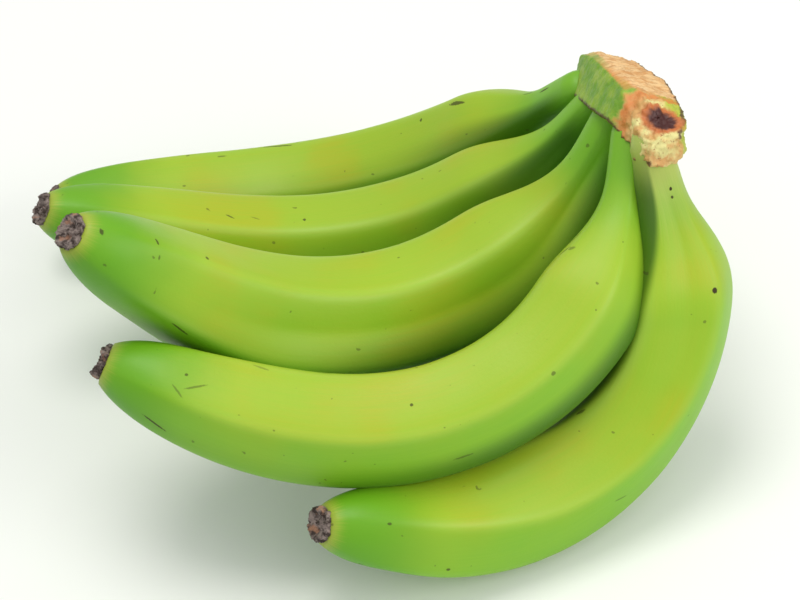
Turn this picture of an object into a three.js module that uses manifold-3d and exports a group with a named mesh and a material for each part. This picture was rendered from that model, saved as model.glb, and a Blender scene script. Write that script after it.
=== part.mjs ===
// A hand of five unripe green bananas, cut from the stalk and lying on a flat surface.
// Millimetres, +Z up, origin under the middle of the hand on the surface that it lies on.
//
// The fingers grow from one row on a woody crown. Each leaves the crown on a narrow neck, drops away
// from it and bends back up to its blossom end, so the hand arches and rests on its two outer fingers.
import * as THREE from 'three';
import Module from 'manifold-3d';

// ---- driving dimensions ----
const FINGER_RINGS = 36; // sections along a finger
const FINGER_SIDES = 20; // points round a section
const RIDGES = 5; // a banana's blunt long ridges
const RIDGE_DEPTH = 0.06; // how far the faces lie inside the ridges, as a share of the girth radius
const NECK_RATIO = 0.4; // neck radius as a share of the girth radius
const NECK_END = 0.07; // where along the finger the shoulder begins
const SHOULDER_END = 0.26; // where the finger reaches its full girth
const TAPER_START = 0.62; // where the blossom end starts to taper
const TAPER_POWER = 3;
const END_RATIO = 0.38; // radius left at the blossom end, as a share of the girth radius
const BEND_START = 0.03; // the bend runs over this stretch of the finger
const BEND_SPAN = 0.94;
const CLEARANCE = 0.35; // gap kept between pieces that touch
// The hand rocks on its two outer fingers until its weight lies between them (radians).
const REST_TURN = new THREE.Euler(-0.04, 0.055, 0);
const NECK_OVERRUN = 6; // how far the neck's socket reaches past the neck's end into the crown
const SOCKET_RINGS = 6; // sections of the finger that its socket in the crown follows

// The row of necks, from the back of the hand to the front.
const ROW_START = new THREE.Vector3(70, 41, 105);
const ROW_STEP = new THREE.Vector3(4.8, -13, 4.8);

// Each finger by the place of its tip, its bend in degrees, and the lean of its bend plane from upright,
// the share of the bend that comes early, its sideways bow and its girth radius.
const FINGERS = [
  { tip: [-115, 69, 29], bend: 82, lean: -37, ease: 1.12, bow: 0, girth: 17.6 },
  { tip: [-112, 22, 67], bend: 87, lean: -9, ease: 0.86, bow: -2, girth: 17.2 },
  { tip: [-92, -47, 119], bend: 109, lean: 2, ease: 0.74, bow: 1, girth: 18.4 },
  { tip: [-84, -60, 75], bend: 106, lean: 43, ease: 0.8, bow: 0, girth: 18.6 },
  { tip: [-15, -94, 36], bend: 125, lean: 21, ease: 0.91, bow: 3, girth: 18.3 },
];

// The dry flower remnant on each blossom end.
const BLOSSOM_LENGTH = 6;
// Its sections: how high each stands, and how wide, as shares of its length and of the finger's end.
const BLOSSOM_PROFILE = [[0, 0.93], [0.3, 1.04], [0.65, 0.94], [1, 0.72], [0.8, 0.3]];
const BLOSSOM_WAVINESS = 0.06;
const BLOSSOM_SIDES = 12;

// The crown: a cushion along the row of necks, which leave it low on its inner side. Its upper side is
// cut through, and the stub of a lost finger stands on its front end.
const CROWN_PAST_FIRST = 4; // how far it reaches past the first neck
const CROWN_PAST_LAST = 7; // and past the last one
const CROWN_HALF_WIDTH = 10;
const CROWN_SHIFT = 4; // how far its middle lies outside the row of necks
const CROWN_BELOW = 7; // reach below the neck ends
const CROWN_ABOVE = 24; // reach above the neck ends
const CROWN_RINGS = 14;
const CROWN_SIDES = 24;
const CUT_NORMAL = new THREE.Vector3(0.55, 0.25, 0.8).normalize();
const CUT_HEIGHT = 15; // from the middle of the row of necks to the cut face
const STUB_CENTRE = new THREE.Vector3(2, -1, 6); // from the last neck's end
const STUB_RADII = new THREE.Vector3(10.5, 9, 12);

const wasm = await Module();
wasm.setup();

const smooth = (t) => t * t * (3 - 2 * t);
const unit = (value, from, span) => THREE.MathUtils.clamp((value - from) / span, 0, 1);

function girthAt(along) {
  const shoulder = smooth(unit(along, NECK_END, SHOULDER_END - NECK_END));
  const taper = unit(along, TAPER_START, 1 - TAPER_START) ** TAPER_POWER;
  return (NECK_RATIO + (1 - NECK_RATIO) * shoulder) * Math.sqrt(1 - (1 - END_RATIO ** 2) * taper);
}

// Ridges fade out at the neck and at the blossom end.
function ridgeAt(along) {
  return RIDGE_DEPTH * smooth(unit(along, 0.1, 0.2)) * (1 - smooth(unit(along, 0.82, 0.18)));
}

// A closed body through a list of rings, each an array of points round the same axis.
function skin(rings) {
  const sides = rings[0].length;
  const points = rings.flat();
  const triangles = [];
  for (let ring = 0; ring < rings.length - 1; ring++) {
    for (let side = 0; side < sides; side++) {
      const a = ring * sides + side;
      const b = ring * sides + (side + 1) % sides;
      triangles.push(a, b, a + sides, b, b + sides, a + sides);
    }
  }
  for (const [ring, flip] of [[0, true], [rings.length - 1, false]]) {
    const centre = new THREE.Vector3();
    rings[ring].forEach((point) => centre.addScaledVector(point, 1 / sides));
    points.push(centre);
    for (let side = 0; side < sides; side++) {
      const a = ring * sides + side;
      const b = ring * sides + (side + 1) % sides;
      triangles.push(points.length - 1, flip ? b : a, flip ? a : b);
    }
  }
  return { points, triangles };
}

function solid({ points, triangles }) {
  const vertProperties = new Float32Array(points.flatMap((point) => point.toArray()));
  const triVerts = new Uint32Array(triangles);
  return new wasm.Manifold(new wasm.Mesh({ numProp: 3, vertProperties, triVerts }));
}

function geometryOf(body) {
  const mesh = body.getMesh();
  const geometry = new THREE.BufferGeometry();
  geometry.setAttribute('position', new THREE.BufferAttribute(new Float32Array(mesh.vertProperties), 3));
  geometry.setIndex(new THREE.BufferAttribute(new Uint32Array(mesh.triVerts), 1));
  return geometry;
}

// The middle line of a finger: a flat bend between its neck and its tip, with a slight sideways bow.
function spine(index) {
  const finger = FINGERS[index];
  const root = ROW_START.clone().addScaledVector(ROW_STEP, index);
  const tip = new THREE.Vector3(...finger.tip);
  const steps = FINGER_RINGS - 1;
  const turn = (along) => {
    const share = smooth(unit(along, BEND_START, BEND_SPAN) ** finger.ease);
    return THREE.MathUtils.degToRad(finger.bend) * share;
  };
  const flat = [new THREE.Vector2()];
  for (let step = 0; step < steps; step++) {
    const heading = turn((step + 0.5) / steps);
    const last = flat[step];
    flat.push(new THREE.Vector2(last.x + Math.cos(heading), last.y + Math.sin(heading)));
  }
  const span = flat[steps].length();
  const skew = Math.atan2(flat[steps].y, flat[steps].x);
  const chord = tip.clone().sub(root);
  const scale = chord.length() / span;
  const ahead = chord.clone().normalize();
  const down = new THREE.Vector3(0, 0, -1).addScaledVector(ahead, ahead.z).normalize();
  const sag = down.applyAxisAngle(ahead, THREE.MathUtils.degToRad(finger.lean));
  const across = new THREE.Vector3().crossVectors(ahead, sag);
  return flat.map((point, step) => {
    const along = step / steps;
    const heading = turn(along) - skew;
    const turned = point.clone().rotateAround(new THREE.Vector2(), -skew).multiplyScalar(scale);
    const bow = 4 * along * (1 - along) * finger.bow;
    return {
      along,
      centre: root.clone().addScaledVector(ahead, turned.x).addScaledVector(sag, -turned.y)
        .addScaledVector(across, bow),
      forward: ahead.clone().multiplyScalar(Math.cos(heading)).addScaledVector(sag, -Math.sin(heading)),
      outer: ahead.clone().multiplyScalar(Math.sin(heading)).addScaledVector(sag, Math.cos(heading)),
      across,
    };
  });
}

// One section of a finger: a ridge on the middle of its outer side, grown by a margin if asked.
function section({ along, centre, outer, across }, girth, sides, margin = 0) {
  return Array.from({ length: sides }, (_, side) => {
    const angle = (side / sides) * Math.PI * 2;
    const flute = ridgeAt(along) * (1 - Math.cos(RIDGES * angle)) / 2;
    const radius = girth * girthAt(along) * (1 - flute) + margin;
    return centre.clone().addScaledVector(outer, radius * Math.cos(angle))
      .addScaledVector(across, radius * Math.sin(angle));
  });
}

function fingerBody(index, margin = 0) {
  const { girth } = FINGERS[index];
  return solid(skin(spine(index).map((place) => section(place, girth, FINGER_SIDES, margin))));
}

// The socket that a neck fills in the crown, a little larger than the neck.
function neckSocket(index) {
  const places = spine(index).slice(0, SOCKET_RINGS);
  const first = places[0];
  const start = { ...first, centre: first.centre.clone().addScaledVector(first.forward, -NECK_OVERRUN) };
  const rings = [start, ...places].map((place) => section(place, FINGERS[index].girth, FINGER_SIDES, CLEARANCE));
  return solid(skin(rings));
}

// The dry remnant stands on the blossom end, with its rim turned in round a small hollow.
function blossomBody(index) {
  const last = spine(index).at(-1);
  const radius = FINGERS[index].girth * END_RATIO;
  const rings = BLOSSOM_PROFILE.map(([height, share]) => {
    const rise = CLEARANCE + height * BLOSSOM_LENGTH;
    return Array.from({ length: BLOSSOM_SIDES }, (_, side) => {
      const angle = (side / BLOSSOM_SIDES) * Math.PI * 2;
      const reach = radius * share * (1 + BLOSSOM_WAVINESS * Math.cos(3 * angle + index));
      return last.centre.clone().addScaledVector(last.forward, rise)
        .addScaledVector(last.outer, reach * Math.cos(angle))
        .addScaledVector(last.across, reach * Math.sin(angle));
    });
  });
  return solid(skin(rings));
}

function crownBody() {
  const end = ROW_START.clone().addScaledVector(ROW_STEP, FINGERS.length - 1);
  const ahead = ROW_STEP.clone().normalize();
  const across = new THREE.Vector3(0, 0, 1).cross(ahead).normalize();
  const up = new THREE.Vector3().crossVectors(ahead, across);
  const start = ROW_START.clone().addScaledVector(ahead, -CROWN_PAST_FIRST)
    .addScaledVector(across, CROWN_SHIFT);
  const length = ROW_START.distanceTo(end) + CROWN_PAST_FIRST + CROWN_PAST_LAST;
  const rings = Array.from({ length: CROWN_RINGS }, (_, ring) => {
    const reach = -Math.cos((Math.PI * (ring + 0.5)) / CROWN_RINGS);
    const share = Math.sqrt(1 - reach ** 6);
    const middle = start.clone().addScaledVector(ahead, (1 + reach) * length / 2);
    return Array.from({ length: CROWN_SIDES }, (_, side) => {
      const angle = (side / CROWN_SIDES) * Math.PI * 2;
      const height = Math.sin(angle) > 0 ? CROWN_ABOVE : CROWN_BELOW;
      return middle.clone().addScaledVector(across, share * CROWN_HALF_WIDTH * Math.cos(angle))
        .addScaledVector(up, share * height * Math.sin(angle));
    });
  });
  const cushion = solid(skin(rings));
  const stubRings = Array.from({ length: CROWN_RINGS - 1 }, (_, ring) => {
    const polar = Math.PI * (1 - (ring + 1) / CROWN_RINGS);
    return Array.from({ length: CROWN_SIDES }, (_, side) => {
      const around = (side / CROWN_SIDES) * Math.PI * 2;
      const point = new THREE.Vector3().setFromSphericalCoords(1, polar, around);
      return new THREE.Vector3(point.z, point.x, point.y).multiply(STUB_RADII).add(STUB_CENTRE).add(end);
    });
  });
  const middle = ROW_START.clone().lerp(end, 0.5);
  return cushion.trimByPlane(CUT_NORMAL.clone().negate().toArray(), -CUT_NORMAL.dot(middle) - CUT_HEIGHT)
    .add(solid(skin(stubRings)));
}

const skinColour = new THREE.MeshStandardMaterial({ color: 0x9cc63c, roughness: 0.45, metalness: 0 });
const blossomColour = new THREE.MeshStandardMaterial({ color: 0x4a3a30, roughness: 0.9, metalness: 0 });
const crownColour = new THREE.MeshStandardMaterial({ color: 0xd2aa6a, roughness: 0.8, metalness: 0 });

const hand = new THREE.Group();

function place(name, body, material) {
  const mesh = new THREE.Mesh(geometryOf(body), material.clone());
  mesh.name = name;
  hand.add(mesh);
}

let crown = crownBody();
FINGERS.forEach((_, index) => {
  crown = crown.subtract(neckSocket(index));
});
place('crown', crown, crownColour);

// Fingers press into each other where they touch, so each is cut back to clear those before it.
FINGERS.forEach((_, index) => {
  let body = fingerBody(index);
  for (let before = 0; before < index; before++) {
    body = body.subtract(fingerBody(before, CLEARANCE));
  }
  place(`finger_${index + 1}`, body, skinColour);
  place(`blossom_tip_${index + 1}`, blossomBody(index), blossomColour);
});

// It lies on the surface, with the origin under the middle of its box.
hand.rotation.copy(REST_TURN);
hand.updateMatrixWorld(true);
const box = new THREE.Box3().setFromObject(hand, true);
const middle = box.getCenter(new THREE.Vector3());
hand.position.set(-middle.x, -middle.y, -box.min.z);

export default hand;
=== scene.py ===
"""A hand of five unripe green bananas, cut from the stalk and lying on its two outer fingers."""
import math

import bmesh
import bpy
import numpy as np
from mathutils import Matrix, Vector, noise


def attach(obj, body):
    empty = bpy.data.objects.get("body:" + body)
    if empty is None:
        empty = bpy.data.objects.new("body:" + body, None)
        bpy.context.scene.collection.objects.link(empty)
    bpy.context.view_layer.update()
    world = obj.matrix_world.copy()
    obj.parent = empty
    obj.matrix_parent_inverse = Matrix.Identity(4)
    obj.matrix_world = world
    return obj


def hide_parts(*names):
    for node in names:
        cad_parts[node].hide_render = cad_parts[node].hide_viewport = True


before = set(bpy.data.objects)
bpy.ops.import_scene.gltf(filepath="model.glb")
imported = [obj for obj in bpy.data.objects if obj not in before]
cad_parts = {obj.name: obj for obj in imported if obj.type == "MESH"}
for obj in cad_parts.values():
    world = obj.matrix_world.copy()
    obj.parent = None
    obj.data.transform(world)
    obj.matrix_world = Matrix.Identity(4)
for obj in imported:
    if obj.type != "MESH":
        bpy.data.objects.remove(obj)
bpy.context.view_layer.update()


# ---- The lie of the fingers ----
# Five fingers grow from one row on the crown. Each leaves it on a narrow neck, drops away and bends
# back up to its blossom end in a plane of its own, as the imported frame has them.
MM = 0.001
ROW_START = Vector((70, 41, 105)) * MM
ROW_STEP = Vector((4.8, -13, 4.8)) * MM
REST_TURN = Matrix.Rotation(-0.04, 3, "X") @ Matrix.Rotation(0.055, 3, "Y")
HAND_SHIFT = Vector((-0.76, -1.06, -1.14)) * MM  # from the turned row to the middle of the hand's box
BEND_START, BEND_SPAN = 0.03, 0.94
SPINE_POINTS = 181
NECK_ROOT = Vector((6, 1.5, -1)) * MM  # how each neck runs on inside the crown

# Each fold entry places painted shade on the flank under the next finger: its middle turn and twist in degrees,
# where along it fades, and the facing at which it starts and is full.
FINGERS = {
    "finger_1": dict(tip=(-115, 69, 29), bend=82, lean=-37, ease=1.12, bow=0, girth=17.6,
                     ridge=-134, twist=10, swell=0, swell_turn=0, shoulder=0.29, fold_shade=(130, 0, 0.3, 0.45, 0.95)),
    "finger_2": dict(tip=(-112, 22, 67), bend=87, lean=-9, ease=0.86, bow=-2, girth=17.2,
                     ridge=150, twist=10, swell=0.12, swell_turn=20, shoulder=0.32, fold_shade=(98, 0, 0.32, 0.35, 0.9)),
    "finger_3": dict(tip=(-92, -47, 119), bend=109, lean=2, ease=0.74, bow=1, girth=18.4,
                     ridge=138, twist=16, swell=0.4, swell_turn=20, shoulder=0.33, fold_shade=(38, 0, 0.55, 0.3, 0.9)),
    "finger_4": dict(tip=(-84, -60, 75), bend=106, lean=43, ease=0.8, bow=0, girth=18.6,
                     ridge=80, twist=2, swell=0.03, swell_turn=-20, shoulder=0.3, fold_shade=(-15, 0, 0.62, 0.35, 0.9)),
    "finger_5": dict(tip=(-15, -94, 36), bend=125, lean=21, ease=0.91, bow=3, girth=18.3,
                     ridge=58, twist=70, swell=0.3, swell_turn=195, shoulder=0.29, fold_shade=(177, 70, 0.8, 0.66, 0.8)),
}


def smooth(t):
    return t * t * (3 - 2 * t)


def unit(value, start, span):
    return np.clip((value - start) / span, 0.0, 1.0)


def spine_of(index, name):
    """The middle line of a finger, the direction that its outer side bends to, and its length."""
    finger = FINGERS[name]
    root = ROW_START + ROW_STEP * index
    tip = Vector(finger["tip"]) * MM
    steps = SPINE_POINTS - 1

    def turn(along):
        return math.radians(finger["bend"]) * smooth(unit(along, BEND_START, BEND_SPAN) ** finger["ease"])

    middles = (np.arange(steps) + 0.5) / steps
    x = np.concatenate([[0], np.cumsum(np.cos(turn(middles)))])
    y = np.concatenate([[0], np.cumsum(np.sin(turn(middles)))])
    skew = math.atan2(y[-1], x[-1])
    chord = tip - root
    scale = chord.length / math.hypot(x[-1], y[-1])
    ahead = chord.normalized()
    down = (Vector((0, 0, -1)) + ahead * ahead.z).normalized()
    sag = Matrix.Rotation(math.radians(finger["lean"]), 3, ahead) @ down
    across = ahead.cross(sag)
    points = []
    for step in range(SPINE_POINTS):
        along = step / steps
        forward = x[step] * math.cos(skew) + y[step] * math.sin(skew)
        dip = x[step] * math.sin(skew) - y[step] * math.cos(skew)
        bow = 4 * along * (1 - along) * finger["bow"] * MM
        place = root + ahead * forward * scale + sag * dip * scale + across * bow
        points.append(REST_TURN @ place + HAND_SHIFT)
    return [points[0] + NECK_ROOT] + points, REST_TURN @ across, steps * scale + NECK_ROOT.length


spines = {name: spine_of(index, name) for index, name in enumerate(FINGERS)}


# ---- Finger skins ----
# Each finger is one skin over its flesh: a neck, a shoulder, a body with five blunt ridges and a
# tapered blossom end. The skin is drawn round the middle line by one set of geometry nodes.
NECK_RATIO, NECK_END = 0.345, 0.085
TAPER_START, TAPER_POWER, END_RATIO = 0.62, 3.0, 0.34
RIDGES, RIDGE_DEPTH, RIDGE_BLUNTNESS = 5, 0.14, 0.07
RINGS, SIDES = 240, 100
FACET_SHARE = 1.055  # the ridges stand out beyond the girth as the faces fall short of it
CAP_SHARE = 0.015  # share of the rings that close each end
LUMP_HEIGHT = 0.5 * MM


class Nodes:
    """Adds nodes to a tree and joins them in one call, so that a formula reads as one."""

    def __init__(self, tree):
        self.tree = tree

    def add(self, kind, *inputs, **settings):
        node = self.tree.nodes.new(kind)
        for key, value in settings.items():
            setattr(node, key, value)
        for slot, value in enumerate(inputs):
            self.feed(node.inputs[slot], value)
        return node

    def feed(self, socket, value):
        if isinstance(value, bpy.types.NodeSocket):
            self.tree.links.new(value, socket)
        elif value is not None:
            socket.default_value = value

    def math(self, operation, *inputs, clamp=False):
        node = self.add("ShaderNodeMath", *inputs, operation=operation, use_clamp=clamp)
        return node.outputs[0]

    def vector(self, operation, *inputs):
        node = self.add("ShaderNodeVectorMath", *inputs, operation=operation)
        return node.outputs["Value" if operation in {"DOT_PRODUCT", "LENGTH"} else "Vector"]

    def scaled(self, vector, scale):
        node = self.add("ShaderNodeVectorMath", vector, operation="SCALE")
        self.feed(node.inputs["Scale"], scale)
        return node.outputs["Vector"]

    def ramp(self, value, low, high, start=0.0, end=1.0, kind="SMOOTHSTEP"):
        node = self.add("ShaderNodeMapRange", value, low, high, start, end)
        node.interpolation_type = kind
        return node.outputs[0]


def finger_tree():
    tree = bpy.data.node_groups.new("banana_finger", "GeometryNodeTree")
    face = tree.interface
    face.new_socket("Geometry", in_out="OUTPUT", socket_type="NodeSocketGeometry")
    sockets = (("Geometry", "NodeSocketGeometry"), ("Across", "NodeSocketVector"),
               ("Girth", "NodeSocketFloat"), ("Ridge Turn", "NodeSocketFloat"),
               ("Ridge Twist", "NodeSocketFloat"), ("Seed", "NodeSocketFloat"),
               ("Shoulder", "NodeSocketFloat"), ("Swell", "NodeSocketFloat"),
               ("Swell Turn", "NodeSocketFloat"),
               ("Skin", "NodeSocketMaterial"))
    for name, kind in sockets:
        face.new_socket(name, in_out="INPUT", socket_type=kind)
    n = Nodes(tree)
    given = n.add("NodeGroupInput").outputs
    grid = n.add("GeometryNodeMeshGrid", 1.0, 1.0, RINGS, SIDES + 1)
    where = n.add("ShaderNodeSeparateXYZ", n.add("GeometryNodeInputPosition").outputs[0]).outputs
    ring = n.math("ADD", where[0], 0.5)
    angle = n.math("MULTIPLY", n.math("ADD", where[1], 0.5), math.tau)
    along = n.ramp(ring, CAP_SHARE, 1 - CAP_SHARE, kind="LINEAR")
    edge = n.math("MINIMUM", ring, n.math("SUBTRACT", 1.0, ring))
    cap = n.ramp(edge, 0.0, CAP_SHARE, kind="LINEAR")

    sample = n.add("GeometryNodeSampleCurve", mode="FACTOR", use_all_curves=True)
    n.feed(sample.inputs["Curves"], given["Geometry"])
    n.feed(sample.inputs["Factor"], along)
    centre, forward = sample.outputs["Position"], sample.outputs["Tangent"]
    outer = n.vector("NORMALIZE", n.vector("CROSS_PRODUCT", given["Across"], forward))

    shoulder = n.ramp(along, NECK_END, given["Shoulder"], NECK_RATIO, 1.0, "SMOOTHERSTEP")
    taper = n.math("POWER", n.ramp(along, TAPER_START, 1.0, kind="LINEAR"), TAPER_POWER)
    end = n.math("SQRT", n.math("MULTIPLY_ADD", taper, END_RATIO ** 2 - 1, 1.0))
    girth = n.math("MULTIPLY", n.math("MULTIPLY", shoulder, end), given["Girth"])

    facing = n.math("COSINE", n.math("SUBTRACT", angle, given["Swell Turn"]))
    swollen = n.math("MULTIPLY", n.ramp(along, 0.02, 0.16), n.ramp(along, 0.6, 0.88, 1.0, 0.0))
    swollen = n.math("MULTIPLY", n.ramp(facing, 0.0, 1.0), n.math("MULTIPLY", swollen, given["Swell"]))
    girth = n.math("MULTIPLY_ADD", given["Girth"], swollen, girth)

    first_ridge = n.math("MULTIPLY_ADD", along, given["Ridge Twist"], given["Ridge Turn"])
    turned = n.math("SUBTRACT", angle, first_ridge)
    off_ridge = n.math("PINGPONG", turned, math.pi / RIDGES)
    blunt = n.math("SQRT", n.math("MULTIPLY_ADD", off_ridge, off_ridge, RIDGE_BLUNTNESS ** 2))
    facet = n.math("COSINE", n.math("SUBTRACT", blunt, math.pi / RIDGES))
    full_drop = 1 - math.cos(math.pi / RIDGES)
    ridge = n.math("MULTIPLY", n.math("SUBTRACT", 1.0, facet), 1 / full_drop, clamp=True)
    fade = n.math("MULTIPLY", n.ramp(along, 0.06, 0.3, 0.35, 1.0), n.ramp(along, 0.86, 1.0, 1.0, 0.25))
    flute = n.math("MULTIPLY", n.math("SUBTRACT", 1.0, ridge), n.math("MULTIPLY", fade, RIDGE_DEPTH))

    cosine, sine = n.math("COSINE", angle), n.math("SINE", angle)
    way = n.vector("ADD", n.scaled(outer, cosine), n.scaled(given["Across"], sine))
    lumps = n.add("ShaderNodeTexNoise", noise_dimensions="4D")
    n.feed(lumps.inputs["Vector"], n.vector("ADD", centre, n.scaled(way, given["Girth"])))
    n.feed(lumps.inputs["W"], given["Seed"])
    n.feed(lumps.inputs["Scale"], 22.0)
    n.feed(lumps.inputs["Detail"], 1.5)
    lump = n.math("MULTIPLY", n.math("SUBTRACT", lumps.outputs[0], 0.5), 2 * LUMP_HEIGHT)
    lump = n.math("MULTIPLY", lump, shoulder)
    radius = n.math("MULTIPLY_ADD", girth, n.math("SUBTRACT", 1.0, flute), lump)
    reach = n.scaled(way, n.math("MULTIPLY", radius, cap))

    def keep(geometry, name, value, kind="FLOAT"):
        node = n.add("GeometryNodeStoreNamedAttribute", data_type=kind, domain="POINT")
        n.feed(node.inputs["Geometry"], geometry)
        n.feed(node.inputs["Name"], name)
        n.feed(node.inputs["Value"], value)
        return node.outputs[0]

    place = n.add("ShaderNodeCombineXYZ", along, cosine, sine).outputs[0]
    shape = keep(grid.outputs["Mesh"], "place", place, "FLOAT_VECTOR")
    shape = keep(shape, "ridge", n.math("MULTIPLY", ridge, fade))
    moved = n.add("GeometryNodeSetPosition")
    n.feed(moved.inputs["Geometry"], shape)
    n.feed(moved.inputs["Position"], n.vector("ADD", centre, reach))
    merged = n.add("GeometryNodeMergeByDistance")
    n.feed(merged.inputs["Geometry"], moved.outputs[0])
    n.feed(merged.inputs["Distance"], 0.00001)
    shaded = n.add("GeometryNodeSetShadeSmooth")
    n.feed(shaded.inputs["Geometry"], merged.outputs[0])
    real = n.add("GeometryNodeRealizeInstances")
    n.feed(real.inputs["Geometry"], shaded.outputs[0])
    painted = n.add("GeometryNodeSetMaterial")
    n.feed(painted.inputs["Geometry"], real.outputs[0])
    n.feed(painted.inputs["Material"], given["Skin"])
    out = n.add("NodeGroupOutput")
    n.feed(out.inputs[0], painted.outputs[0])
    return tree


def set_inputs(modifier, **values):
    for item in modifier.node_group.interface.items_tree:
        if item.item_type == "SOCKET" and item.in_out == "INPUT" and item.name in values:
            modifier[item.identifier] = values[item.name]


def settled(holder, name):
    """The evaluated result of a piece as a plain mesh object, in place of the one that held the nodes."""
    result = bpy.data.meshes.new_from_object(holder.evaluated_get(bpy.context.evaluated_depsgraph_get()))
    result.name = name
    bpy.data.objects.remove(holder)
    piece = bpy.data.objects.new(name, result)
    bpy.context.collection.objects.link(piece)
    return piece


def srgb(red, green, blue):
    """A colour as seen, 0 to 255, in the renderer's linear values."""
    shares = [v / 255 for v in (red, green, blue)]
    return tuple(v / 12.92 if v < 0.04045 else ((v + 0.055) / 1.055) ** 2.4 for v in shares) + (1.0,)


NECK_GREEN = srgb(110, 172, 38)
BODY_GREEN = srgb(138, 186, 34)
# The next three colours are for upward- and downward-facing skin: partly the skin's own yellower and greener
# tones, partly painted light from above and painted shade below.
SUN_AND_LIGHT_GREEN = srgb(156, 184, 38)
SUN_AND_LIGHT_YELLOW = srgb(170, 176, 26)
SHADE_GREEN = srgb(122, 180, 28)
TIP_GREEN = srgb(84, 156, 14)
# Painted sheen: a paler green along the ridges.
RIDGE_SHEEN_GREEN = srgb(168, 204, 96)
FOLD_SHADE_GREEN, FOLD_SHADE_DEPTH = srgb(30, 80, 5), 0.8  # painted shade on the flank where the next finger overhangs it
MARK_BROWN = srgb(54, 44, 12)
RIM_YELLOW = srgb(206, 184, 84)
PALE_NECK = srgb(190, 196, 104)

# Scars and rubbed places: millimetres from the neck, degrees round from the outer side, length and
# width in millimetres, turn from the finger's length in degrees, and strength.
MARKS = {
    "finger_1": [(56, -141, 9, 1.6, 8, 0.8), (24, -132, 5, 1.0, 0, 0.8), (13, -150, 6, 1.8, 0, 0.9),
                 (77, -144, 1.4, 1.4, 0, 0.8), (147, -129, 14, 0.8, 6, 0.7), (170, -135, 4, 0.8, 0, 0.5)],
    "finger_2": [(158, 177, 4, 0.8, 30, 0.7), (128, 174, 1.3, 1.3, 0, 0.8), (148, 177, 4, 0.7, 20, 0.4)],
    "finger_3": [(224, 144, 4, 1.3, 80, 0.8), (206, 156, 3, 0.9, 70, 0.8), (204, 138, 2, 0.7, 80, 0.6),
                 (219, 93, 1.2, 1.2, 0, 0.5), (186, 159, 1.4, 1.4, 0, 0.8), (185, 72, 8, 1.0, 12, 0.8)],
    "finger_4": [(209, 33, 9, 1.1, 20, 0.9), (205, 117, 1.3, 1.3, 0, 0.7), (201, 105, 8, 0.9, -35, 0.5),
                 (206, 93, 6, 0.8, 40, 0.45), (182, 150, 6, 0.7, 10, 0.4), (159, 159, 7, 0.9, 0, 0.4),
                 (129, 114, 1.2, 1.2, 0, 0.8), (83, 78, 1.5, 1.5, 0, 0.6), (40, 170, 7, 1.6, 25, 0.7),
                 (46, 160, 6, 1.2, 35, 0.65), (52, 168, 6, 1.0, 10, 0.6), (57, 175, 5, 1.2, 20, 0.55),
                 (62, 178, 4, 0.9, -10, 0.5), (44, 150, 3, 1.4, 60, 0.5), (117, 36, 6, 1.0, 0, 0.5)],
    "finger_5": [(48, 81, 1.9, 1.9, 0, 1.0), (58, 93, 1.2, 1.2, 0, 0.5), (182, 57, 1.4, 1.4, 0, 0.8),
                 (205, 120, 1.5, 1.2, 0, 0.7), (209, 36, 1.5, 1.5, 0, 0.6), (123, 69, 5, 0.9, 30, 0.5),
                 (113, 168, 5, 0.9, 10, 0.6), (14, 96, 1.4, 3.0, 0, 1.0), (17, 99, 1.2, 2.6, 0, 0.9)],
}


def mark_group():
    """A scar's mask from the place on the skin: an oval, drawn out along its turn, with a frayed rim."""
    group = bpy.data.node_groups.new("skin_mark", "ShaderNodeTree")
    for name in ("Run", "Cosine", "Sine", "Fray", "At", "Round", "Length", "Width", "Turn", "Strength", "Girth"):
        group.interface.new_socket(name, in_out="INPUT", socket_type="NodeSocketFloat")
    group.interface.new_socket("Mask", in_out="OUTPUT", socket_type="NodeSocketFloat")
    n = Nodes(group)
    given = n.add("NodeGroupInput").outputs
    run = n.math("SUBTRACT", given["Run"], given["At"])
    cosine, sine = n.math("COSINE", given["Round"]), n.math("SINE", given["Round"])
    turn = n.math("MULTIPLY", given["Cosine"], sine)
    turn = n.math("SUBTRACT", n.math("MULTIPLY", given["Sine"], cosine), turn)
    same_side = n.math("MULTIPLY_ADD", given["Cosine"], cosine, n.math("MULTIPLY", given["Sine"], sine))
    reach = n.math("MULTIPLY", turn, given["Girth"])
    c, s = n.math("COSINE", given["Turn"]), n.math("SINE", given["Turn"])
    u = n.math("MULTIPLY_ADD", run, c, n.math("MULTIPLY", reach, s))
    v = n.math("SUBTRACT", n.math("MULTIPLY", reach, c), n.math("MULTIPLY", run, s))
    u = n.math("DIVIDE", u, n.math("MULTIPLY", given["Length"], 0.5))
    v = n.math("DIVIDE", v, n.math("MULTIPLY", given["Width"], 0.5))
    gap = n.math("SQRT", n.math("MULTIPLY_ADD", u, u, n.math("MULTIPLY", v, v)))
    mask = n.ramp(n.math("ADD", gap, given["Fray"]), 1.15, 0.75)
    mask = n.math("MULTIPLY", mask, n.math("GREATER_THAN", same_side, 0.0))
    out = n.add("NodeGroupOutput")
    n.feed(out.inputs[0], n.math("MULTIPLY", mask, given["Strength"]))
    return group


def new_material(name):
    material = bpy.data.materials.new(name)
    material.use_nodes = True
    material.node_tree.nodes.clear()
    n = Nodes(material.node_tree)
    shader = n.add("ShaderNodeBsdfPrincipled")
    out = n.add("ShaderNodeOutputMaterial")
    n.feed(out.inputs["Surface"], shader.outputs[0])
    return material, n, shader.inputs


def blend_colour(n, share, first, second):
    node = n.add("ShaderNodeMix", data_type="RGBA")
    n.feed(node.inputs[0], share)
    n.feed(node.inputs[6], first)
    n.feed(node.inputs[7], second)
    return node.outputs[2]


def noise_at(n, place, scale, detail=2.0, rough=0.5):
    node = n.add("ShaderNodeTexNoise")
    n.feed(node.inputs["Vector"], place)
    n.feed(node.inputs["Scale"], scale)
    n.feed(node.inputs["Detail"], detail)
    n.feed(node.inputs["Roughness"], rough)
    return node.outputs[0]


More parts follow.
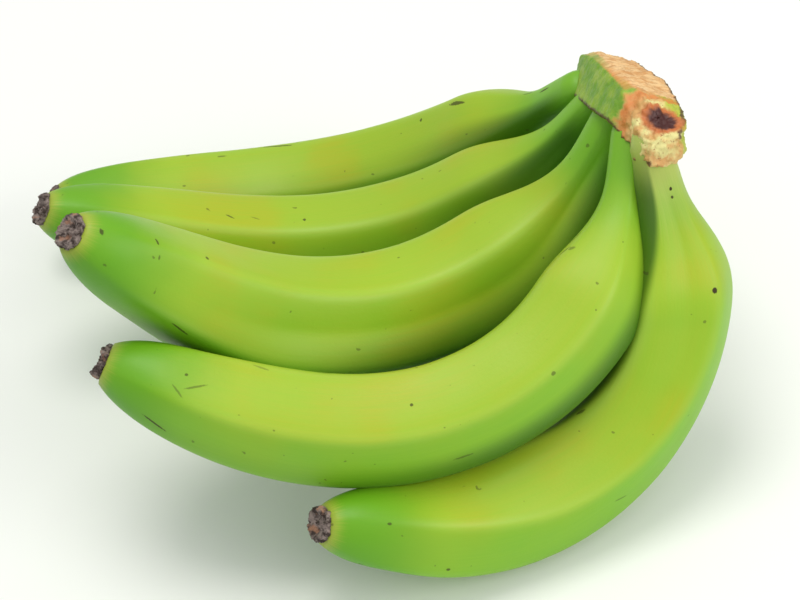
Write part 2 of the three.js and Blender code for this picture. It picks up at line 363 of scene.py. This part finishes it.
def skin_material(name, length, marks, scar):
    """Waxy green skin: greener on the neck and the end; upward-facing skin yellower, partly its own tone and
    partly painted light from above; painted sheen along the ridges; painted shade on the flanks under the next
    finger; scars.
    """
    girth = FINGERS[name]["girth"]
    material, n, skin = new_material("skin_" + name)
    spot = n.add("ShaderNodeTexCoord").outputs["Object"]
    upward = n.add("ShaderNodeSeparateXYZ", n.add("ShaderNodeNewGeometry").outputs["Normal"]).outputs[2]
    place = n.add("ShaderNodeAttribute", attribute_name="place").outputs["Vector"]
    along, cosine, sine = n.add("ShaderNodeSeparateXYZ", place).outputs[:3]
    ridge = n.add("ShaderNodeAttribute", attribute_name="ridge").outputs["Fac"]
    cloud = noise_at(n, spot, 34.0, 3.0)
    streak_at = n.vector("MULTIPLY", place, (9.0, 26.0, 26.0))
    streak = noise_at(n, streak_at, 1.0, 3.0, 0.6)
    grain = noise_at(n, spot, 900.0, 2.0)

    # Painted light and shade: skin facing up is painted yellower and lighter, skin facing down greener, on top of
    # its own tone.
    sun_tone_and_top_light = n.ramp(n.math("MULTIPLY_ADD", cloud, 0.7, upward), 0.15, 1.15)
    warmth = n.ramp(noise_at(n, n.vector("ADD", spot, (7.0, 3.0, 1.0)), 26.0, 2.0), 0.45, 0.68, 0.0, 0.8)
    colour = blend_colour(n, sun_tone_and_top_light, SHADE_GREEN, blend_colour(n, warmth, SUN_AND_LIGHT_GREEN, SUN_AND_LIGHT_YELLOW))
    body = n.ramp(n.math("MULTIPLY_ADD", streak, 0.8, -0.4), -0.12, 0.2, 0.0, 0.35)
    colour = blend_colour(n, body, colour, BODY_GREEN)
    # Painted sheen: the ridges are painted a paler green.
    colour = blend_colour(n, n.math("MULTIPLY", n.ramp(ridge, 0.45, 1.0), 0.3), colour, RIDGE_SHEEN_GREEN)
    neck = n.ramp(n.math("MULTIPLY_ADD", cloud, 0.08, along), 0.27, 0.12)
    colour = blend_colour(n, n.math("MULTIPLY", neck, 0.85), colour, NECK_GREEN)
    end = n.ramp(n.math("MULTIPLY_ADD", cloud, 0.08, along), 0.86, 1.0)
    colour = blend_colour(n, n.math("MULTIPLY", end, 0.8), colour, TIP_GREEN)
    rim = n.ramp(n.math("MULTIPLY_ADD", streak, 0.03, along), 0.995, 1.02)
    colour = blend_colour(n, n.math("MULTIPLY", rim, 0.45), colour, RIM_YELLOW)
    # finger_5 is painted paler near its neck.
    if name == "finger_5":
        pale_neck_share = n.ramp(n.math("MULTIPLY_ADD", streak, 0.06, along), 0.2, 0.07)
        colour = blend_colour(n, n.math("MULTIPLY", pale_neck_share, 0.75), colour, PALE_NECK)

    # Painted shade: the flank that faces the next finger is painted dark green from near the neck to a set point
    # along it, then fainter.
    fold_turn, fold_twist, fold_end, fold_edge, fold_full = FINGERS[name]["fold_shade"]
    middle = n.math("MULTIPLY_ADD", along, math.radians(fold_twist), math.radians(fold_turn))
    inward = n.math("COSINE", n.math("SUBTRACT", n.math("ARCTAN2", sine, cosine), middle))
    fold_shade = n.ramp(along, fold_end - 0.15, fold_end + 0.15, FOLD_SHADE_DEPTH, 0.15)
    fold_shade = n.math("MULTIPLY", n.ramp(inward, fold_edge, fold_full), fold_shade)
    colour = blend_colour(n, n.math("MULTIPLY", fold_shade, n.ramp(along, 0.0, 0.1)), colour, FOLD_SHADE_GREEN)

    run = n.math("MULTIPLY_ADD", along, length / MM, -NECK_ROOT.length / MM)
    fray = n.math("MULTIPLY_ADD", noise_at(n, spot, 1300.0, 2.0), 0.9, -0.45)
    freckle = n.ramp(noise_at(n, spot, 360.0, 1.0), 0.765, 0.8, 0.0, 0.5)
    mask = freckle
    for at, side, long, wide, turn, strength in marks:
        oval = n.add("ShaderNodeGroup", node_tree=scar)
        values = (run, cosine, sine, fray, float(at), math.radians(side), float(long), float(wide),
                  math.radians(turn), float(strength), float(girth))
        for socket, value in zip(oval.inputs, values):
            n.feed(socket, value)
        mask = n.math("MAXIMUM", mask, oval.outputs[0])
    colour = blend_colour(n, mask, colour, MARK_BROWN)
    n.feed(skin["Base Color"], colour)
    n.feed(skin["Roughness"], n.math("MULTIPLY_ADD", mask, 0.3, n.ramp(cloud, 0.3, 0.7, 0.42, 0.52)))
    skin["Specular IOR Level"].default_value = 0.34
    skin["Coat Weight"].default_value = 0.05
    skin["Coat Roughness"].default_value = 0.32
    skin["Subsurface Weight"].default_value = 0.08
    skin["Subsurface Radius"].default_value = (0.6, 1.0, 0.15)
    skin["Subsurface Scale"].default_value = 0.004
    height = n.math("MULTIPLY_ADD", grain, 0.4, n.math("MULTIPLY", streak, 0.25))
    height = n.math("SUBTRACT", height, n.math("MULTIPLY", mask, 0.6))
    bump = n.add("ShaderNodeBump")
    n.feed(bump.inputs["Strength"], 0.16)
    n.feed(bump.inputs["Distance"], 0.0006)
    n.feed(bump.inputs["Height"], height)
    n.feed(skin["Normal"], bump.outputs[0])
    return material


finger_nodes = finger_tree()
scar_nodes = mark_group()
for name, (points, across, length) in spines.items():
    line = bpy.data.curves.new(name + "_line", "CURVE")
    line.dimensions = "3D"
    spline = line.splines.new("POLY")
    spline.points.add(len(points) - 1)
    for point, place in zip(spline.points, points):
        point.co = (*place, 1.0)
    holder = bpy.data.objects.new(name + "_line", line)
    bpy.context.collection.objects.link(holder)
    nodes = holder.modifiers.new("finger", "NODES")
    nodes.node_group = finger_nodes
    finger = FINGERS[name]
    set_inputs(nodes, **{
        "Across": tuple(across), "Girth": finger["girth"] * FACET_SHARE * MM,
        "Ridge Turn": math.radians(finger["ridge"]), "Ridge Twist": math.radians(finger["twist"]), "Seed": float(finger["bend"]),
        "Shoulder": finger["shoulder"], "Swell": finger["swell"],
        "Swell Turn": math.radians(finger["swell_turn"]),
        "Skin": skin_material(name, length, MARKS[name], scar_nodes),
    })
    skin = settled(holder, name + "_skin")
    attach(skin, "root")
    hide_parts(name)


# ---- Blossom ends ----
# What is left of each flower: a short dry collar, grey-brown and wrinkled, round a dark hollow with
# the broken style in its middle. It grows on the end of the finger and stays when the flower falls.
BLOSSOM_RINGS, BLOSSOM_SIDES = 46, 96
BLOSSOM_LENGTH = 2.2 * MM
BLOSSOM_PROFILE = [(0.0, -0.9), (0.8, -0.8), (0.95, -0.3), (1.0, 0.1), (0.98, 0.5), (0.92, 0.8), (0.82, 0.98),
                   (0.68, 0.9), (0.52, 0.5), (0.36, 0.2), (0.22, 0.4), (0.1, 0.75), (0.0, 0.8)]


def blossom_material():
    material, n, husk = new_material("dry_blossom")
    spot = n.add("ShaderNodeTexCoord").outputs["Object"]
    patch = noise_at(n, spot, 420.0, 4.0, 0.65)
    grain = noise_at(n, spot, 1500.0, 3.0, 0.7)
    colour = blend_colour(n, n.ramp(patch, 0.38, 0.62), srgb(58, 44, 38), srgb(150, 134, 126))
    pink = n.ramp(noise_at(n, spot, 260.0, 3.0), 0.56, 0.68, 0.0, 0.8)
    colour = blend_colour(n, pink, colour, srgb(176, 128, 100))
    colour = blend_colour(n, n.ramp(grain, 0.58, 0.72, 0.0, 0.7), colour, srgb(26, 18, 16))
    n.feed(husk["Base Color"], colour)
    husk["Roughness"].default_value = 0.88
    bump = n.add("ShaderNodeBump")
    n.feed(bump.inputs["Strength"], 0.8)
    n.feed(bump.inputs["Distance"], 0.0009)
    n.feed(bump.inputs["Height"], n.math("ADD", patch, grain))
    n.feed(husk["Normal"], bump.outputs[0])
    return material


def closed_rings(name, rings, material):
    """A closed skin through rings of points, with a point in the middle of the first and last."""
    shape = bmesh.new()
    rows = [[shape.verts.new(point) for point in ring] for ring in rings]
    sides = len(rows[0])
    for low, high in zip(rows, rows[1:]):
        for side in range(sides):
            after = (side + 1) % sides
            shape.faces.new((low[side], low[after], high[after], high[side]))
    for row in (rows[0], rows[-1]):
        middle = sum((v.co for v in row), Vector()) / sides
        pole = shape.verts.new(middle)
        for side in range(sides):
            shape.faces.new((row[side], row[(side + 1) % sides], pole))
    bmesh.ops.recalc_face_normals(shape, faces=shape.faces)
    mesh = bpy.data.meshes.new(name)
    shape.to_mesh(mesh)
    shape.free()
    mesh.materials.append(material)
    mesh.shade_smooth()
    piece = bpy.data.objects.new(name, mesh)
    bpy.context.collection.objects.link(piece)
    return piece


husk = blossom_material()
reaches, heights = zip(*BLOSSOM_PROFILE)
for index, (name, (points, across, _)) in enumerate(spines.items()):
    forward = (points[-1] - points[-2]).normalized()
    outer = across.cross(forward).normalized()
    radius = FINGERS[name]["girth"] * END_RATIO * MM
    rings = []
    for ring in range(BLOSSOM_RINGS):
        at = ring / (BLOSSOM_RINGS - 1) * (len(reaches) - 1)
        reach = radius * np.interp(at, range(len(reaches)), reaches)
        rise = BLOSSOM_LENGTH * np.interp(at, range(len(heights)), heights)
        row = []
        for side in range(BLOSSOM_SIDES):
            angle = math.tau * side / BLOSSOM_SIDES
            way = outer * math.cos(angle) + across * math.sin(angle)
            seed = Vector((index * 7.3, index * 3.1, 0))
            grain_at = way * 2.6 * (reach / radius) + seed + Vector((0, 0, rise * 400))
            rough = noise.fractal(grain_at, 0.6, 2.2, 5)
            ragged = noise.noise(way * 1.6 + seed)
            lift = rise + (0.9 * rough + 1.1 * ragged) * MM * min(1.0, max(0.0, rise / BLOSSOM_LENGTH))
            push = reach * 0.93 + 0.8 * MM * rough * (reach / radius)
            row.append(points[-1] + way * push + forward * lift)
        rings.append(row)
    collar = closed_rings(name.replace("finger", "blossom") + "_collar", rings, husk)
    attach(collar, "root")
    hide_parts(name.replace("finger", "blossom_tip"))


# ---- Crown ----
# The woody block that joins the necks: a green cheek over them, a slanting face of tan fibres where
# it was cut from the stalk, and at its low end a pale torn lobe with a rotten hollow in it.
# Outlines across the row, in millimetres: how far along the row, then points (away from the
# fingers, up), starting at the lip over the necks and going round over the top.
CROWN_OUTLINES = [
    (-6, [(1, -2), (3, 8), (7, 8), (11, 5), (10, -2), (6, -5)]),
    (-3, [(-2, -3), (3, 10.5), (8, 10.5), (17, 6), (16, -4), (6, -8)]),
    (8, [(-5, 1), (2, 12.5), (6, 13), (19, 7), (17, -5), (6, -9)]),
    (28, [(-8, 4), (0, 14), (4, 14), (20, 7), (18, -5), (6, -9)]),
    (44, [(-8, 5), (-2, 13.5), (3, 14), (17, 6), (16, -5), (5, -9)]),
    (50, [(-4.5, -1), (-3, 8), (3, 13), (15, 7), (14, -5), (4, -9)]),
    (60, [(-5.5, -4), (-4.5, 6), (3, 11.5), (12, 7), (11, -5), (3, -8)]),
    (67, [(-4, -3), (-3, 3), (2, 6), (7, 4), (7, -3), (2, -5)]),
]
CROWN_STEPS, CROWN_GRAIN = 10, 0.6 * MM
CUT_FACING = Vector((0, 0.44, 0.9)).normalized()  # along the row, away from the fingers, up
CUT_END = 46
ROT_PLACE, ROT_RADIUS = Vector((60, 4.5, 9)), 7.0

row_ahead = ROW_STEP.normalized()
row_across = Vector((0, 0, 1)).cross(row_ahead).normalized()
crown_axes = REST_TURN @ Matrix((row_ahead, row_across, row_ahead.cross(row_across))).transposed()
crown_origin = REST_TURN @ ROW_START + HAND_SHIFT

stations = [station for station, _ in CROWN_OUTLINES]
corners = np.array([outline for _, outline in CROWN_OUTLINES], dtype=float)
rings = []
for station in np.linspace(stations[0], stations[-1], 60):
    outline = [[np.interp(station, stations, corners[:, corner, axis]) for axis in (0, 1)]
               for corner in range(len(corners[0]))]
    ring = []
    for corner, (reach, height) in enumerate(outline):
        next_reach, next_height = outline[(corner + 1) % len(outline)]
        for step in range(CROWN_STEPS):
            share = step / CROWN_STEPS
            away = reach + (next_reach - reach) * share
            place = Vector((station, away, height + (next_height - height) * share))
            ring.append(crown_axes @ place * MM + crown_origin)
    rings.append(ring)
crown_draft = closed_rings("crown_draft", rings, husk)
remesh = crown_draft.modifiers.new("grain", "REMESH")
remesh.mode = "VOXEL"
remesh.voxel_size = CROWN_GRAIN
soften = crown_draft.modifiers.new("soften", "SMOOTH")
soften.factor = 0.5
soften.iterations = 3
crown = settled(crown_draft, "crown_block")


def crown_material():
    material, n, wood = new_material("crown_wood")
    where = n.add("ShaderNodeAttribute", attribute_name="crown_place").outputs["Vector"]
    zones = n.add("ShaderNodeAttribute", attribute_name="zones").outputs["Vector"]
    cut_share, rot, edge = n.add("ShaderNodeSeparateXYZ", zones).outputs[:3]
    station, reach = n.add("ShaderNodeSeparateXYZ", where).outputs[:2]
    cloud = noise_at(n, where, 0.16, 4.0, 0.6)
    grain = noise_at(n, where, 0.9, 3.0, 0.6)
    fibre = noise_at(n, n.vector("MULTIPLY", where, (0.75, 0.09, 0.3)), 1.0, 4.0, 0.6)

    colour = blend_colour(n, n.ramp(cloud, 0.35, 0.65), srgb(104, 150, 30), srgb(144, 172, 48))
    colour = blend_colour(n, n.ramp(grain, 0.62, 0.72, 0.0, 0.5), colour, srgb(120, 96, 40))
    flesh = blend_colour(n, n.ramp(fibre, 0.35, 0.65), srgb(200, 146, 88), srgb(230, 194, 140))
    flesh = blend_colour(n, n.ramp(fibre, 0.6, 0.74, 0.0, 0.6), flesh, srgb(150, 92, 48))
    orange = n.ramp(n.math("MULTIPLY_ADD", cloud, 8.0, reach), 8.5, 4.5)
    flesh = blend_colour(n, n.math("MULTIPLY", orange, 0.75), flesh, srgb(216, 134, 62))
    colour = blend_colour(n, cut_share, colour, flesh)
    pale = blend_colour(n, n.ramp(cloud, 0.4, 0.6), srgb(222, 212, 140), srgb(208, 158, 92))
    pale = blend_colour(n, n.ramp(grain, 0.6, 0.7, 0.0, 0.7), pale, srgb(150, 84, 40))
    green_side = n.ramp(n.math("MULTIPLY_ADD", cloud, 6.0, reach), 10.0, 13.0)
    pale = blend_colour(n, green_side, pale, srgb(176, 186, 62))
    torn = n.ramp(n.math("MULTIPLY_ADD", cloud, 9.0, station), 49.0, 52.0)
    singed = n.math("MULTIPLY", torn, n.ramp(n.math("MULTIPLY_ADD", cloud, 9.0, station), 57.0, 53.0))
    colour = blend_colour(n, torn, colour, pale)
    colour = blend_colour(n, n.math("MULTIPLY", singed, 0.8), colour, srgb(210, 120, 50))
    colour = blend_colour(n, n.ramp(n.math("MULTIPLY_ADD", grain, 0.8, edge), 0.85, 1.25, 0.0, 0.9),
                          colour, srgb(78, 48, 26))
    scorched = n.math("MULTIPLY_ADD", cloud, 0.6, rot)
    colour = blend_colour(n, n.ramp(scorched, 0.45, 0.7), colour, srgb(190, 108, 52))
    colour = blend_colour(n, n.ramp(scorched, 0.72, 0.95), colour, srgb(70, 26, 20))
    n.feed(wood["Base Color"], colour)
    n.feed(wood["Roughness"], n.ramp(cut_share, 0.0, 1.0, 0.5, 0.8))
    bump = n.add("ShaderNodeBump")
    n.feed(bump.inputs["Strength"], 0.6)
    n.feed(bump.inputs["Distance"], 0.0006)
    n.feed(bump.inputs["Height"], n.math("ADD", grain, n.math("MULTIPLY", fibre, cut_share)))
    n.feed(wood["Normal"], bump.outputs[0])
    return material


to_crown = crown_axes.inverted()
places, zones, shaped = [], [], []
for vert in crown.data.vertices:
    place = to_crown @ (vert.co - crown_origin) / MM
    facing = (to_crown @ vert.normal).dot(CUT_FACING)
    cut_share = smooth(float(unit(facing, 0.8, 0.1))) * (1 if place.x < CUT_END else 0)
    torn = float(unit(place.x, CUT_END, 4))
    rot = max(0.0, 1.3 - (place - ROT_PLACE).length / ROT_RADIUS)
    edge = 0.0
    for corner in (0, 3):
        outline = [np.interp(place.x, stations, corners[:, corner, axis]) for axis in (0, 1)]
        gap = math.hypot(place.y - outline[0], place.z - outline[1])
        edge = max(edge, 1 - gap / 2.6)
    rough = noise.fractal(Vector((place.x * 0.3, place.y * 0.3, place.z * 0.3)), 0.7, 2.1, 4)
    fibre = noise.fractal(Vector((place.x * 0.9, place.y * 0.1, place.z * 0.3)), 0.7, 2.1, 3)
    push = 0.35 * rough + 0.9 * torn * rough + 0.7 * cut_share * fibre - 3.0 * min(1.0, rot) ** 1.5
    shaped.extend(vert.co + vert.normal * push * MM)
    places.extend(place)
    zones.extend((cut_share, min(1.0, rot), edge))
crown.data.vertices.foreach_set("co", shaped)
crown.data.attributes.new("crown_place", "FLOAT_VECTOR", "POINT").data.foreach_set("vector", places)
crown.data.attributes.new("zones", "FLOAT_VECTOR", "POINT").data.foreach_set("vector", zones)
crown.data.update()
crown.data.shade_smooth()
crown.data.materials.clear()
crown.data.materials.append(crown_material())
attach(crown, "root")
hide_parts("crown")


# ---- The table and the light ----
# A warm white table that runs on behind the hand, soft daylight that is strongest from above, one broad
# soft lamp overhead and a weaker one on the right. They leave a cool shadow under the raised fingers.
TABLE_SIZE = 8.0
table_data = bpy.data.meshes.new("table")
half = TABLE_SIZE / 2
table_corners = [(-half, -half, 0), (half, -half, 0), (half, half, 0), (-half, half, 0)]
table_data.from_pydata(table_corners, [], [(0, 1, 2, 3)])
table = bpy.data.objects.new("table", table_data)
bpy.context.collection.objects.link(table)
table_white, n, table_skin = new_material("table_white")
n.feed(table_skin["Base Color"], (0.86, 0.86, 0.82, 1.0))
table_skin["Roughness"].default_value = 0.9
table_data.materials.append(table_white)

world = bpy.data.worlds.new("daylight")
world.use_nodes = True
sky = world.node_tree.nodes["Background"]
sky.inputs["Color"].default_value = (0.97, 1.0, 1.02, 1.0)
n = Nodes(world.node_tree)
lift = n.add("ShaderNodeSeparateXYZ", n.add("ShaderNodeTexCoord").outputs["Generated"]).outputs[2]
n.feed(sky.inputs["Strength"], n.ramp(lift, -0.1, 1.0, 0.38, 0.9, "LINEAR"))
bpy.context.scene.world = world

LAMPS = [("lamp_above", (-0.12, 0.12, 1.3), 0.6, 6.6), ("lamp_right", (0.9, -0.5, 0.65), 0.7, 4.6)]
for name, place, size, power in LAMPS:
    lamp_data = bpy.data.lights.new(name, "AREA")
    lamp_data.shape = "DISK"
    lamp_data.size = size
    lamp_data.energy = power
    lamp_data.color = (1.0, 0.985, 0.95)
    lamp = bpy.data.objects.new(name, lamp_data)
    lamp.location = place
    lamp.rotation_euler = (-lamp.location).to_track_quat("-Z", "Y").to_euler()
    bpy.context.collection.objects.link(lamp)
bpy.context.scene.view_settings.view_transform = "Standard"


# ---- The eye ----
# A long lens held in front of the hand and above it, a little to its blossom side.
CAMERA_PLACE = Vector((0.04622, -0.63909, 0.70358))
camera_data = bpy.data.cameras.new("eye")
camera_data.lens = 121.2
camera_data.sensor_width = 36
camera = bpy.data.objects.new("eye", camera_data)
camera.location = CAMERA_PLACE
camera.rotation_euler = (math.radians(44.06), math.radians(3.15), math.radians(-0.13))
bpy.context.collection.objects.link(camera)
bpy.context.scene.camera = camera
